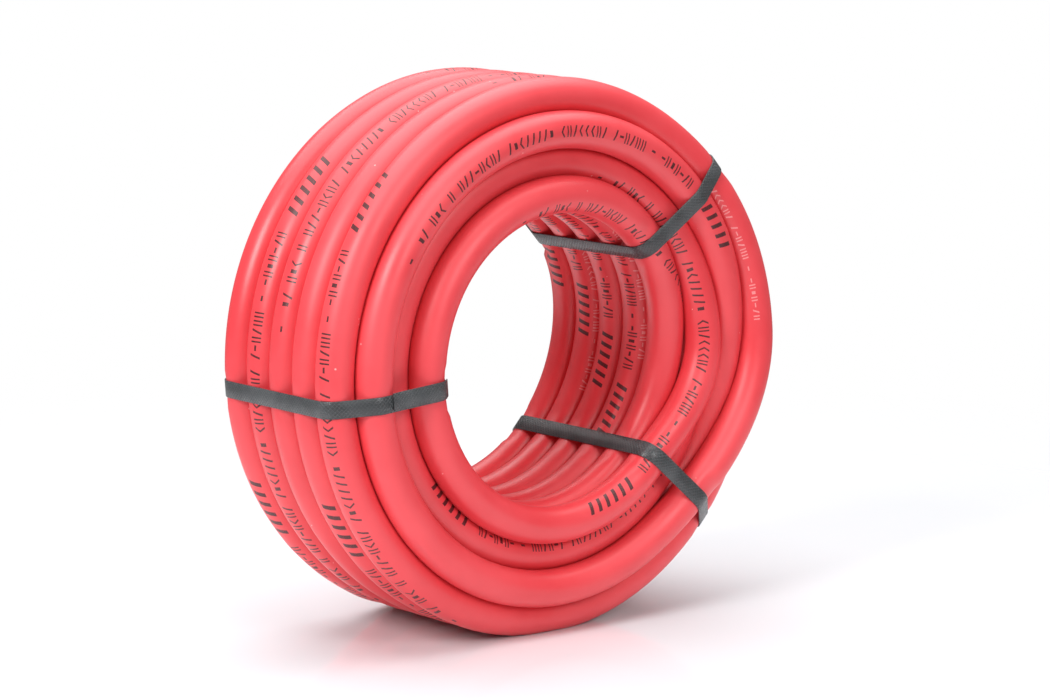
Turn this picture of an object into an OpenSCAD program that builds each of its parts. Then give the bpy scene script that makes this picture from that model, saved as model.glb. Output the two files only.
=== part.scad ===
// Coiled air hose: fifty feet of half-inch rubber hose, wound in four layers and held by three
// packing straps. The coil stands on its rim. Its axis runs along Y and its front face looks to -Y.

/* [Hose] */
// Outside diameter of the hose
hose_d = 19.8; // [19.6:0.1:20]
// Bore of the hose
bore_d = 12.7; // [12.6:0.1:12.8]
// Outside diameter of the inner tube, where the textile cords lie
liner_d = 15.6; // [15.2:0.1:16]
// Outside diameter of the textile cords, where the cover lies
cords_d = 17.2; // [16.8:0.1:17.6]

/* [Coil] */
// Radius of the innermost layer, at the middle of the hose
first_layer_r = 87; // [86:1:88]
// Distance between layers, in hose diameters: turns nest in the grooves below and press in a little
nesting = 0.85; // [0.845:0.005:0.855]
// Turns that lie side by side in the first and third layers
turns_wide = 6; // [6:1:6]
// Height of the flat that the coil's weight presses at the bottom
rest_flat = 2; // [1:0.5:3]

/* [Straps] */
// Width of a packing strap
strap_w = 9; // [6:0.5:12]
// Thickness of a packing strap
strap_t = 0.8; // [0.5:0.1:1.2]
// Gap between a strap and the hose it is pulled over
strap_gap = 0.2; // [0.1:0.1:0.4]
// Length of the welded overlap on the left strap
weld_l = 27; // [15:1:35]
// Angle of the left strap around the coil, anticlockwise from the right
left_strap_angle = 184.5; // [180:0.5:200]
// Angle of the upper right strap around the coil
upper_strap_angle = 41.5; // [40:0.5:46]
// Angle of the lower right strap around the coil
lower_strap_angle = -43; // [-46:0.5:-37]

/* [Couplings] */
// Outside diameter of the male pipe thread
thread_d = 21.3; // [20.8:0.1:21.4]
// Length of the male pipe thread
thread_l = 19.8; // [16:0.2:20]
// Bore through the coupling
coupling_bore = 9.6; // [8:0.2:10]
// Hexagon, across its flats
hex_af = 23.8; // [22:0.2:25]
// Length of the hexagon
hex_l = 10; // [8:0.5:11]
// Outside diameter of the crimped ferrule
ferrule_d = 24.6; // [24:0.1:24.8]
// Length of the crimped ferrule
ferrule_l = 30; // [28:0.5:31]

/* [Hidden] */
$fn = 96;

hose_red = "IndianRed";
cord_white = "WhiteSmoke";
liner_black = "DimGray";
brass = "Goldenrod";
strap_grey = "DarkSlateGray";

hose_r = hose_d / 2;
layer_step = nesting * hose_d;
layer_r = [for (i = [0 : 3]) first_layer_r + i * layer_step];
rim_r = layer_r[3] + hose_r;
axis_z = rim_r - rest_flat;
// Places of the outermost turns along the axis, in the wide layers and in the nested ones.
wide_y = (turns_wide - 1) * hose_d / 2;
nested_y = wide_y - hose_r;
back_y = wide_y + hose_r;
nested_back_y = nested_y + hose_r;

// Both ends lie flat on the back face, a ferrule's radius and a small gap clear of the turns.
end_gap = 0.3;
tail_y = back_y + ferrule_d / 2 + end_gap;
// Each coupling's axis: its heading, its distance from the coil's axis, and where its ferrule starts.
inner_heading = -10;
inner_offset = first_layer_r;
inner_mouth = 52;
inner_straight_from = 20;
outer_heading = 59;
outer_offset = -116;
outer_mouth = -38;

// Routes of the free stretches, as angle around the coil, radius and place along the axis.
inner_route = [
    [155, 87, 49.5], [145, 87, 51], [135, 87, 55], [125, 87, 60], [115, 87, 65],
    [105, 87, 69], [95, 87, 71], [85, 87, 72]
];
outer_route = [
    [234, 137.5, 39.5], [246, 137.5, 43.5], [258, 137, 52], [270, 135.4, 60.5],
    [282, 135.4, 67], [294, 132, 70.5], [303, 127.5, 72]
];

// Sides of a free stretch's tube, and steps in each round corner of the coil's outline.
route_sides = 12;
corner_steps = 3;
cut_size = 400;
// Details of the couplings: the barbs lie in the bore, the collar turns in to the neck.
thread_chamfer = 1.5;
neck_d = 14.6;
collar_l = 2.4;
grip = 0.05;
hex_gap = 0.2;
barb_count = 4;
barb_l = 5;
barb_start = 2;
barb_low = bore_d - 0.8;
barb_high = bore_d - 2 * grip;
// The left strap's overlap starts this far inside the middle of the innermost layer.
weld_inset = 5;

// Place on the coil for an angle, a radius and a distance along the axis.
function around(p) = [p[1] * cos(p[0]), p[2], p[1] * sin(p[0])];

// Place on a coupling's axis, a distance along its heading.
function on_axis(heading, offset, along) = [
    along * cos(heading) - offset * sin(heading),
    tail_y,
    along * sin(heading) + offset * cos(heading)
];

function unit(v) = v / norm(v);

// Direction of a route at point i, from its two neighbours.
function route_dir(path, i) =
    unit(path[min(i + 1, len(path) - 1)] - path[max(i - 1, 0)]);

// One ring of a tube: points around a route's point, in the plane across its direction.
function ring(path, i, r) =
    let (t = route_dir(path, i),
         side = unit(cross(t, [0, 1, 0])),
         up = cross(side, t))
    [for (k = [0 : route_sides - 1])
        path[i] + r * (cos(k * 360 / route_sides) * side + sin(k * 360 / route_sides) * up)];

// A plain tube swept along a route.
module tube(path, r) {
    n = route_sides;
    last = (len(path) - 1) * n;
    points = [for (i = [0 : len(path) - 1]) each ring(path, i, r)];
    walls = [for (i = [0 : len(path) - 2]) for (k = [0 : n - 1])
        each [[i * n + k, i * n + (k + 1) % n, (i + 1) * n + (k + 1) % n],
              [i * n + k, (i + 1) * n + (k + 1) % n, (i + 1) * n + k]]];
    start = [[for (k = [0 : n - 1]) n - 1 - k]];
    end = [[for (k = [0 : n - 1]) last + k]];
    polyhedron(points, concat(start, walls, end));
}

// Stands a shape that is turned about +Z on the coil's own axis.
module about_coil_axis() {
    translate([0, 0, axis_z]) rotate([-90, 0, 0]) children();
}

// Outline of the wound turns in section: the taut line around them, with round corners.
module coil_section() {
    corners = [
        [layer_r[0], -wide_y, 180, 270], [layer_r[2], -wide_y, 270, 300],
        [layer_r[3], -nested_y, 300, 360], [layer_r[3], nested_y, 0, 60],
        [layer_r[2], wide_y, 60, 90], [layer_r[0], wide_y, 90, 180]
    ];
    polygon([for (c = corners) for (i = [0 : corner_steps])
        let (a = c[2] + (c[3] - c[2]) * i / corner_steps)
        [c[0] + hose_r * cos(a), c[1] + hose_r * sin(a)]]);
}

module hose_coil() {
    color(hose_red) intersection() {
        about_coil_axis() rotate_extrude() coil_section();
        translate([-cut_size / 2, -cut_size / 2, 0]) cube(cut_size);
    }
}

// A free stretch of hose. Only what stands out from the turns it rises from is kept.
module tail(path, kept_from) {
    color(hose_red) intersection() {
        translate([0, 0, axis_z]) tube(path, hose_r);
        translate([-cut_size / 2, kept_from, 0]) cube(cut_size);
    }
}

module inner_tail() {
    route = [for (p = inner_route) around(p)];
    straight = [for (along = [inner_straight_from, inner_mouth])
        on_axis(inner_heading, inner_offset, along)];
    tail(concat(route, straight), back_y);
}

module outer_tail() {
    route = [for (p = outer_route) around(p)];
    mouth = on_axis(outer_heading, outer_offset, outer_mouth);
    tail(concat(route, [mouth]), nested_back_y);
}

// Lays a piece drawn along +Z on a coupling's axis, with its base at the ferrule's mouth.
module on_coupling(heading, offset, mouth) {
    translate([0, tail_y, axis_z]) rotate([0, -heading, 0])
        translate([mouth, 0, offset]) rotate([0, 90, 0]) children();
}

module at_inner_end() {
    on_coupling(inner_heading, inner_offset, inner_mouth) children();
}

module at_outer_end() {
    on_coupling(outer_heading, outer_offset, outer_mouth) children();
}

// One layer of the hose wall, from the ferrule's mouth to the cut end of the hose.
module wall_layer(outside, inside) {
    difference() {
        cylinder(d = outside, h = ferrule_l - collar_l);
        translate([0, 0, -1]) cylinder(d = inside, h = ferrule_l);
    }
}

// Ferrule: a sleeve around the hose, with a collar that turns in to the coupling's neck.
module ferrule() {
    color(brass) difference() {
        cylinder(d = ferrule_d, h = ferrule_l);
        translate([0, 0, -1]) cylinder(d = hose_d + 2 * grip, h = ferrule_l - collar_l + 1);
        cylinder(d = neck_d + 2 * grip, h = ferrule_l + 1);
    }
}

// Coupling: a barbed stem in the hose, a neck in the collar, a hexagon and a male thread.
module coupling() {
    hex_z = ferrule_l + hex_gap;
    thread_z = hex_z + hex_l;
    color(brass) difference() {
        union() {
            cylinder(d = barb_low, h = ferrule_l);
            for (i = [0 : barb_count - 1])
                translate([0, 0, barb_start + i * barb_l])
                    cylinder(d1 = barb_low, d2 = barb_high, h = barb_l - 1);
            translate([0, 0, ferrule_l - collar_l]) cylinder(d = neck_d, h = collar_l + 2 * hex_gap);
            translate([0, 0, hex_z]) cylinder(d = hex_af / cos(30), h = hex_l, $fn = 6);
            translate([0, 0, thread_z]) cylinder(d = thread_d, h = thread_l - thread_chamfer);
            translate([0, 0, thread_z + thread_l - thread_chamfer])
                cylinder(d1 = thread_d, d2 = thread_d - 2 * thread_chamfer, h = thread_chamfer);
        }
        translate([0, 0, -1]) cylinder(d = coupling_bore, h = thread_z + thread_l + 2);
    }
}

module inner_end_cover() { color(hose_red) at_inner_end() wall_layer(hose_d, cords_d); }
module inner_end_cords() { color(cord_white) at_inner_end() wall_layer(cords_d, liner_d); }
module inner_end_liner() { color(liner_black) at_inner_end() wall_layer(liner_d, bore_d); }
module inner_ferrule() { at_inner_end() ferrule(); }
module inner_coupling() { at_inner_end() coupling(); }

module outer_end_cover() { color(hose_red) at_outer_end() wall_layer(hose_d, cords_d); }
module outer_end_cords() { color(cord_white) at_outer_end() wall_layer(cords_d, liner_d); }
module outer_end_liner() { color(liner_black) at_outer_end() wall_layer(liner_d, bore_d); }
module outer_ferrule() { at_outer_end() ferrule(); }
module outer_coupling() { at_outer_end() coupling(); }

// Outline that a taut strap takes around the turns, and around a ferrule where one lies under it.
module taut_outline(extra, bump_r, bump_slant) {
    bump = ferrule_d / 2 + extra;
    hull() {
        for (side = [-1, 1]) {
            translate([layer_r[0], side * wide_y]) circle(hose_r + extra);
            translate([layer_r[2], side * wide_y]) circle(hose_r + extra);
            translate([layer_r[3], side * nested_y]) circle(hose_r + extra);
        }
        if (bump_r > 0)
            translate([bump_r, tail_y]) scale([1 / cos(bump_slant), 1]) circle(bump);
    }
}

// A strap: a thin closed band around the bundle, in a plane through the coil's axis.
// Children are added to the band's outline, such as a welded overlap.
module strap(angle, bump_r = 0, bump_slant = 0) {
    color(strap_grey) translate([0, 0, axis_z]) rotate([0, -angle, 0])
        linear_extrude(strap_w, center = true) {
            difference() {
                taut_outline(strap_gap + strap_t, bump_r, bump_slant);
                taut_outline(strap_gap, bump_r, bump_slant);
            }
            children();
        }
}

// The left strap is closed by a welded overlap on the front face.
module strap_left() {
    strap(left_strap_angle)
        translate([layer_r[0] - weld_inset, -back_y - strap_gap - 2 * strap_t])
            square([weld_l, 2 * strap_t]);
}

// The upper right strap holds the inner end down, across its ferrule.
module strap_upper_right() {
    slant = upper_strap_angle - 90 - inner_heading;
    strap(upper_strap_angle, inner_offset / cos(slant), slant);
}

// The lower right strap holds the outer end down, across its ferrule.
module strap_lower_right() {
    slant = lower_strap_angle + 90 - outer_heading;
    strap(lower_strap_angle, -outer_offset / cos(slant), slant);
}

hose_coil();
inner_tail();
inner_end_cover();
inner_end_cords();
inner_end_liner();
inner_ferrule();
inner_coupling();
outer_tail();
outer_end_cover();
outer_end_cords();
outer_end_liner();
outer_ferrule();
outer_coupling();
strap_left();
strap_upper_right();
strap_lower_right();
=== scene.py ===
# %% [markdown]
# # A strapped coil of rubber air hose
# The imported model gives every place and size. The lesson draws the hose as one long swept tube,
# then its straps and its two brass ends, and gives each of them a material worked out with nodes.

# %% Load the fixed frame
import math
import bpy
import numpy as np
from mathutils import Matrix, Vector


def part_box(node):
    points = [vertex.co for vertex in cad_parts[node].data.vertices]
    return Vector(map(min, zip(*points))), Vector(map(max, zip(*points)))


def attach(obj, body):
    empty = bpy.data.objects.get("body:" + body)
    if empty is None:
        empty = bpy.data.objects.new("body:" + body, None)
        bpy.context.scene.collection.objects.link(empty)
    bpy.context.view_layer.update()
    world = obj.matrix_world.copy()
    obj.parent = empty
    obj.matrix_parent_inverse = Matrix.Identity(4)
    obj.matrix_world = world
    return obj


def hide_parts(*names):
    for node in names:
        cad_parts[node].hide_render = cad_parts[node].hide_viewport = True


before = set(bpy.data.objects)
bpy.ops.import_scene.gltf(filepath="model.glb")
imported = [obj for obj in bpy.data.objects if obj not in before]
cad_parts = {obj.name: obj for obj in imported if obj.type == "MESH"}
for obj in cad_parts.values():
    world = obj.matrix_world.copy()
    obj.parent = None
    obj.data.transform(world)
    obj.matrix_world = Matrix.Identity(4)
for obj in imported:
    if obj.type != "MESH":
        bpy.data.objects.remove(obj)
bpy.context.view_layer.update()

# %% [markdown]
# ## Sizes
# A coil is set by very few numbers: the hose's diameter, how closely layers nest, and the rim that
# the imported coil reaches. The rest follows, so the drawing can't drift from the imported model.

# %% Driving sizes, in metres
HOSE_D = 0.0198
HOSE_R = HOSE_D / 2
CORDS_R = 0.0086
NESTING = 0.85
coil_low, coil_high = [np.array(corner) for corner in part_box("hose_coil")]
RIM_R = (coil_high[0] - coil_low[0]) / 2
AXIS = np.array([0.0, 0.0, coil_high[2] - RIM_R])
LAYER_STEP = NESTING * HOSE_D
FIRST_R = RIM_R - HOSE_R - 3 * LAYER_STEP
WIDE_Y = 2.5 * HOSE_D
BACK_Y = WIDE_Y + HOSE_R
print(f"coil: rim {RIM_R:.4f} m, first layer {FIRST_R:.4f} m, axis {AXIS[2]:.4f} m up")

# %% [markdown]
# ## The camera
# A product shot is taken from some way off with a long lens, so that the front face stays nearly
# round. The camera comes before anything is drawn, because it decides what has to look right.

# %% Camera
CAMERA_AZIMUTH = math.radians(-38.9)
CAMERA_ELEVATION = math.radians(8.9)
CAMERA_DISTANCE = 1.913
CAMERA_LENS_MM = 123.2
CAMERA_SHIFT = (0.0249, -0.001)


def make_camera():
    """Stand the camera on a sphere around the coil's middle and turn it to look at that middle."""
    data = bpy.data.cameras.new("camera")
    data.lens = CAMERA_LENS_MM
    data.shift_x, data.shift_y = CAMERA_SHIFT
    camera = bpy.data.objects.new("camera", data)
    bpy.context.scene.collection.objects.link(camera)
    level = math.cos(CAMERA_ELEVATION)
    away = np.array([
        math.sin(CAMERA_AZIMUTH) * level,
        -math.cos(CAMERA_AZIMUTH) * level,
        math.sin(CAMERA_ELEVATION),
    ])
    camera.location = AXIS + away * CAMERA_DISTANCE
    camera.rotation_euler = (math.pi / 2 - CAMERA_ELEVATION, 0.0, CAMERA_AZIMUTH)
    bpy.context.scene.camera = camera
    print("camera stands at", [round(v, 3) for v in camera.location])


make_camera()

# %% [markdown]
# ## How the hose is wound
# A winding machine lays turns side by side from the back to the front, climbs onto them and comes
# back. Most of a turn lies in one plane, in the groove between two turns below. It changes groove
# on the right-hand side, where each layer has to cross the one under it. A true helix would be a
# shorter formula, but it would not nest, so each revolution here has a start and an end groove.

# %% One row per revolution: its layer, and its depth before and after it crosses
# A depth counts hose diameters behind the front turn.
revolutions = [(0, 5.0, 5.0)]
revolutions += [(0, 5.0 - i, 4.0 - i) for i in range(5)]
revolutions += [(1, 0.0, 0.5)] + [(1, 0.5 + i, 1.5 + i) for i in range(4)]
revolutions += [(2, 4.5, 5.0)] + [(2, 5.0 - i, 4.0 - i) for i in range(5)]
revolutions += [(3, 0.0, 0.5)] + [(3, 0.5 + i, 1.5 + i) for i in range(4)]
LAYER_OF, DEPTH_BEFORE, DEPTH_AFTER = [np.array(column) for column in zip(*revolutions)]
LAYER_BELOW = np.concatenate([[0], LAYER_OF[:-1]])
# Where each layer changes groove, and where the hose climbs, in degrees from the right-hand side.
CROSSING = np.array([(-48, 100), (-47, 85), (-56, 78), (-48, 83)])[LAYER_OF]
CLIMB = (-46, 2)
BOTTOM = -90.0
# The front turn under the last climb crosses early, and the climbing turn leans out in front of it.
UNDER_LAST_CLIMB, LAST_CLIMB = 16, 17
CROSSING[UNDER_LAST_CLIMB] = (-75, 35)
LEAN = -0.26
LEAN_FROM, LEAN_TO = (-60, -30), (20, 70)


def ease(x):
    """Rise smoothly from 0 to 1 as x does: 3 x squared less 2 x cubed."""
    x = np.clip(x, 0.0, 1.0)
    return x * x * (3.0 - 2.0 * x)


def wound(total):
    """Angle, radius and place along the axis for a total winding angle in degrees.

    The radius is the layer's, and eases from the layer below where the hose climbs. The place along
    the axis is a depth in hose diameters, and eases from one groove to the next where it crosses.
    """
    turn = np.floor((total - BOTTOM) / 360.0).astype(int)
    turn = np.clip(turn, 0, len(revolutions) - 1)
    angle = total - 360.0 * turn
    layer = LAYER_OF[turn]
    crossing = CROSSING[turn]
    crossed = ease((angle - crossing[:, 0]) / (crossing[:, 1] - crossing[:, 0]))
    climbed = ease((angle - CLIMB[0]) / (CLIMB[1] - CLIMB[0]))
    depth = DEPTH_BEFORE[turn] + (DEPTH_AFTER[turn] - DEPTH_BEFORE[turn]) * crossed
    leaning = ease((angle - LEAN_FROM[0]) / (LEAN_FROM[1] - LEAN_FROM[0]))
    leaning = leaning * (1.0 - ease((angle - LEAN_TO[0]) / (LEAN_TO[1] - LEAN_TO[0])))
    depth = depth + LEAN * leaning * (turn == LAST_CLIMB)
    height = LAYER_BELOW[turn] + (layer - LAYER_BELOW[turn]) * climbed
    return angle, FIRST_R + height * LAYER_STEP, depth * HOSE_D - WIDE_Y


def around(angle, radius, along):
    """Turn an angle in degrees, a radius and a place along the axis into points."""
    a = np.radians(angle)
    return np.stack([radius * np.cos(a), along + 0.0 * a, radius * np.sin(a)], -1) + AXIS


# %% [markdown]
# ## The two free ends
# Both ends leave the bundle at the back and lie flat on it, each under a strap. They aren't wound,
# so each follows a short list of places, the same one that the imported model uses.

# %% Routes of the free ends, as degrees, millimetres from the axis and millimetres along it
INNER_ROUTE = [
    (155, 87, 49.5), (145, 87, 51), (135, 87, 55), (125, 87, 60), (115, 87, 65),
    (105, 87, 69), (95, 87, 71), (85, 87, 72),
]
OUTER_ROUTE = [
    (234, 137.5, 39.5), (246, 137.5, 43.5), (258, 137, 52), (270, 135.4, 60.5),
    (282, 135.4, 67), (294, 132, 70.5), (303, 127.5, 72),
]
FERRULE_L = 0.030
COLLAR_L = 0.0024
TAIL_Y = 0.0720
# Each coupling's heading in degrees, its axis's distance from the coil's axis, and the distance
# along it to its ferrule's mouth.
INNER_END = (-10.0, 0.087, 0.052)
OUTER_END = (59.0, -0.116, -0.038)


def on_axis(end, beyond):
    """Points on a coupling's axis, at distances beyond its ferrule's mouth."""
    heading, offset, mouth = math.radians(end[0]), end[1], end[2]
    t = mouth + np.atleast_1d(np.asarray(beyond, float))
    x = t * math.cos(heading) - offset * math.sin(heading)
    z = t * math.sin(heading) + offset * math.cos(heading)
    return np.stack([x, TAIL_Y + 0.0 * t, z], -1) + AXIS


def route_points(route):
    """Places from a route's list, in metres."""
    angle, radius, along = np.array(route, float).T
    return around(angle, radius / 1000, along / 1000)


# %% [markdown]
# ## The middle line of the whole hose
# The two free ends and the wound part are joined into one list of places. A Catmull-Rom spline goes
# through them, and the result is cut again into equal steps, so that the swept rings are even.

# %% Join, smooth and cut the middle line
RINGS = 3960
WOUND_STEP = 5.0
STEPS_PER_SPAN = 12
# The wound part starts and stops a few degrees short of the free ends, so the spline can blend them.
BLEND_START, BLEND_END = 10.0, 6.0
LAST_ANGLE = 360.0 * (len(revolutions) - 1) + OUTER_ROUTE[0][0]


def spline(points, per_span):
    """Catmull-Rom: from p1 to p2 the curve leaves along p2 - p0 and arrives along p3 - p1."""
    padded = np.concatenate([[2 * points[0] - points[1]], points, [2 * points[-1] - points[-2]]])
    p0, p1, p2, p3 = [padded[i:len(padded) - 3 + i, None, :] for i in range(4)]
    t = np.linspace(0.0, 1.0, per_span, endpoint=False)[None, :, None]
    cubic = (3 * p1 - p0 - 3 * p2 + p3) * t ** 3 + (2 * p0 - 5 * p1 + 4 * p2 - p3) * t ** 2
    curve = (cubic + (p2 - p0) * t + 2 * p1) / 2
    return np.concatenate([curve.reshape(-1, 3), points[-1:]])


def lengths(points):
    """Distance along a line of points, from its start to each point."""
    steps = np.linalg.norm(np.diff(points, axis=0), axis=1)
    return np.concatenate([[0.0], np.cumsum(steps)])


def even(points, count):
    """Cut a line again into equal steps."""
    along = lengths(points)
    wanted = np.linspace(0.0, along[-1], count)
    return np.stack([np.interp(wanted, along, points[:, i]) for i in range(3)], -1)


def middle_line():
    """Places from the hose's cut end in the inner ferrule to the one in the outer ferrule."""
    inside = FERRULE_L - COLLAR_L
    start = on_axis(INNER_END, [inside, 0.014, 0.0, -0.016, -0.032])
    wound_angles = np.arange(INNER_ROUTE[0][0] + BLEND_START, LAST_ANGLE - BLEND_END, WOUND_STEP)
    middle = around(*wound(wound_angles))
    finish = on_axis(OUTER_END, [0.0, 0.014, inside])
    points = np.concatenate([
        start, route_points(INNER_ROUTE)[::-1], middle, route_points(OUTER_ROUTE), finish,
    ])
    return even(spline(points, STEPS_PER_SPAN), RINGS)


HOSE_LINE = middle_line()
HOSE_ALONG = lengths(HOSE_LINE)
HOSE_LENGTH = float(HOSE_ALONG[-1])
print(f"hose is {HOSE_LENGTH:.3f} m long in {len(revolutions)} revolutions")

# %% [markdown]
# ## Surfaces from grids
# Every new piece is a grid of points, rows by columns, worked out as whole arrays. One helper turns
# a grid into a mesh. It closes the columns into a ring, joins the rows or caps them, and gives each
# face corner a UV: turns around the piece, and metres along it.


# %% Grid helper
def grid_mesh(name, grid, along=None, across=None, ring_rows=False, ring_columns=True, caps=True):
    """Build an object from a grid of points, with quads between neighbours and UVs from the two axes.

    A corner's u is how far it is across, its v how far it is along. Where a grid closes on itself the
    last face uses the end value and not the first one, so no pattern is squeezed into one face.
    """
    rows, columns = grid.shape[:2]
    row_faces = rows if ring_rows else rows - 1
    column_faces = columns if ring_columns else columns - 1
    i, j = [index.ravel() for index in np.mgrid[0:row_faces, 0:column_faces]]
    i2, j2 = i + 1, j + 1
    corners = np.stack([
        i * columns + j, i * columns + j2 % columns,
        (i2 % rows) * columns + j2 % columns, (i2 % rows) * columns + j,
    ], -1)
    along = np.arange(rows + 1.0) if along is None else np.asarray(along, float)
    across = np.linspace(0.0, 1.0, columns + 1) if across is None else np.asarray(across, float)
    u = across[np.stack([j, j2, j2, j], -1)]
    v = along[np.stack([i, i, i2, i2], -1)]
    faces = corners.tolist()
    uv = [np.stack([u, v], -1).reshape(-1, 2)]
    if caps and ring_columns and not ring_rows:
        faces.append(np.arange(columns)[::-1].tolist())
        faces.append((np.arange(columns) + (rows - 1) * columns).tolist())
        uv.append(np.zeros((2 * columns, 2)))
    mesh = bpy.data.meshes.new(name)
    mesh.from_pydata(grid.reshape(-1, 3).tolist(), [], faces)
    layer = mesh.uv_layers.new(name="measure")
    layer.data.foreach_set("uv", np.concatenate(uv).astype(np.float32).ravel())
    mesh.polygons.foreach_set("use_smooth", np.ones(len(faces), bool))
    if signed_volume(grid, corners) < 0:
        mesh.flip_normals()
    mesh.update()
    piece = bpy.data.objects.new(name, mesh)
    bpy.context.scene.collection.objects.link(piece)
    print(f"{name}: {rows} by {columns} points")
    return piece


def signed_volume(grid, corners):
    """Six times the volume inside the quads: positive where they face outwards."""
    p = grid.reshape(-1, 3)
    p = p - p.mean(0)
    a, b, c, d = [p[corners[:, k]] for k in range(4)]
    return float((np.cross(a, b) * c).sum() + (np.cross(a, c) * d).sum())


def finish_piece(piece, material, slot, *nodes):
    """Give a piece its material, ride it on the object and let it stand for its nodes. The slot is not
    used.
    """
    piece.data.materials.append(material)
    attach(piece, "root")
    if nodes:
        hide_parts(*nodes)


def sharpen(piece, degrees):
    """Keep edges crisp where two faces meet at more than an angle."""
    piece.data.set_sharp_from_angle(angle=math.radians(degrees))


# %% [markdown]
# ## Node groups that several finishes share
# Dust, fine grain and slow mottling turn up on rubber, plastic and brass alike, so each is a group
# with named sockets. A group only gives out masks and heights: the shader stays in the material.


# %% Group helpers
def new_group(name, inputs, outputs):
    """Start a shader group with number or vector inputs and number outputs."""
    tree = bpy.data.node_groups.new(name, "ShaderNodeTree")
    for label, kind, value in inputs:
        socket = tree.interface.new_socket(label, in_out="INPUT", socket_type="NodeSocket" + kind)
        if value is not None:
            socket.default_value = value
    for label in outputs:
        tree.interface.new_socket(label, in_out="OUTPUT", socket_type="NodeSocketFloat")
    return tree, tree.nodes.new("NodeGroupInput"), tree.nodes.new("NodeGroupOutput")


def put(socket, value):
    """Set a socket, or link it when the value is another node's output."""
    if isinstance(value, bpy.types.NodeSocket):
        socket.id_data.links.new(value, socket)
    else:
        socket.default_value = value


def maths(tree, operation, *values):
    """A Math node, and its output."""
    node = tree.nodes.new("ShaderNodeMath")
    node.operation = operation
    for socket, value in zip(node.inputs, values):
        put(socket, value)
    return node.outputs[0]


def step_between(tree, value, low, high, out_low=0.0, out_high=1.0):
    """Map a value smoothly from one range to another, and stop at the ends."""
    node = tree.nodes.new("ShaderNodeMapRange")
    node.interpolation_type = "SMOOTHSTEP"
    put(node.inputs["Value"], value)
    put(node.inputs["From Min"], low)
    put(node.inputs["From Max"], high)
    put(node.inputs["To Min"], out_low)
    put(node.inputs["To Max"], out_high)
    return node.outputs["Result"]


def noise(tree, vector, scale, detail=3.0, roughness=0.5, dimensions="3D"):
    """A noise value about the middle of 0 to 1."""
    node = tree.nodes.new("ShaderNodeTexNoise")
    node.noise_dimensions = dimensions
    if vector is not None:
        put(node.inputs["Vector"], vector)
    put(node.inputs["Scale"], scale)
    put(node.inputs["Detail"], detail)
    put(node.inputs["Roughness"], roughness)
    return node.outputs["Fac"]


def within(tree, value, limit):
    """One where a value lies closer to zero than a limit, and zero elsewhere."""
    return maths(tree, "LESS_THAN", maths(tree, "ABSOLUTE", value), limit)


def centred(tree, value):
    """A value's place between two whole numbers, from -0.5 to 0.5."""
    return maths(tree, "SUBTRACT", maths(tree, "FRACT", value), 0.5)


def random_of(tree, value):
    """A random value for each whole number."""
    node = tree.nodes.new("ShaderNodeTexWhiteNoise")
    node.noise_dimensions = "1D"
    put(node.inputs["W"], value)
    return node.outputs["Value"]


# %% Dust: sparse specks of many sizes
LARGEST_SHARE_WITH_DUST = 0.06
LARGEST_SPECK = 0.22


def make_dust_group():
    """Specks around scattered points: few of the points have one, and each has its own size."""
    tree, given, result = new_group(
        "dust specks",
        [("Vector", "Vector", None), ("Scale", "Float", 400.0), ("Amount", "Float", 0.5)],
        ["Mask"],
    )
    cells = tree.nodes.new("ShaderNodeTexVoronoi")
    put(cells.inputs["Vector"], given.outputs["Vector"])
    put(cells.inputs["Scale"], given.outputs["Scale"])
    chosen = tree.nodes.new("ShaderNodeSeparateColor")
    put(chosen.inputs[0], cells.outputs["Color"])
    share = maths(tree, "MULTIPLY", given.outputs["Amount"], LARGEST_SHARE_WITH_DUST)
    rare = maths(tree, "LESS_THAN", chosen.outputs[0], share)
    size = maths(tree, "MULTIPLY", chosen.outputs[1], LARGEST_SPECK)
    near = maths(tree, "LESS_THAN", cells.outputs["Distance"], size)
    put(result.inputs["Mask"], maths(tree, "MULTIPLY", rare, near))
    return tree


# %% Grain: a fine bump height and a slow mottle
def make_grain_group():
    """Fine noise for a moulded skin, and slow noise for uneven colour and sheen."""
    tree, given, result = new_group(
        "skin grain",
        [("Vector", "Vector", None), ("Fine", "Float", 900.0), ("Coarse", "Float", 18.0)],
        ["Height", "Mottle"],
    )
    fine = noise(tree, given.outputs["Vector"], given.outputs["Fine"], 3.0, 0.6)
    coarse = noise(tree, given.outputs["Vector"], given.outputs["Coarse"], 4.0, 0.55)
    put(result.inputs["Height"], fine)
    put(result.inputs["Mottle"], step_between(tree, coarse, 0.3, 0.7))
    return tree


# %% Strokes: one shape of ink for one cell
# Each row is a range of random values and the stroke that a cell in that range gets.
STROKES = [
    (0.10, 0.30, "slanted"),
    (0.30, 0.52, "pair"),
    (0.52, 0.72, "chevron"),
    (0.72, 0.86, "dash"),
    (0.86, 1.00, "block"),
]
HALF_SIZES = {"dash": (0.34, 0.10), "block": (0.24, 0.30)}
STROKE_HALF, STROKE_SLANT = 0.13, 0.42
PAIR_HALF, PAIR_APART = 0.10, 0.24
CHEVRON_SLOPE, CHEVRON_TIP = 0.9, -0.24


def stroke_mask(tree, stroke, x, y):
    """One kind of stroke, in a cell where x and y run from -0.5 to 0.5."""
    if stroke == "slanted":
        return within(tree, maths(tree, "MULTIPLY_ADD", y, STROKE_SLANT, x), STROKE_HALF)
    if stroke == "pair":
        return within(tree, maths(tree, "SUBTRACT", maths(tree, "ABSOLUTE", x), PAIR_APART), PAIR_HALF)
    if stroke == "chevron":
        arms = maths(tree, "MULTIPLY_ADD", maths(tree, "ABSOLUTE", y), CHEVRON_SLOPE, CHEVRON_TIP)
        return within(tree, maths(tree, "ADD", x, arms), STROKE_HALF)
    half_width, half_height = HALF_SIZES[stroke]
    return maths(tree, "MULTIPLY", within(tree, x, half_width), within(tree, y, half_height))


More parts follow.
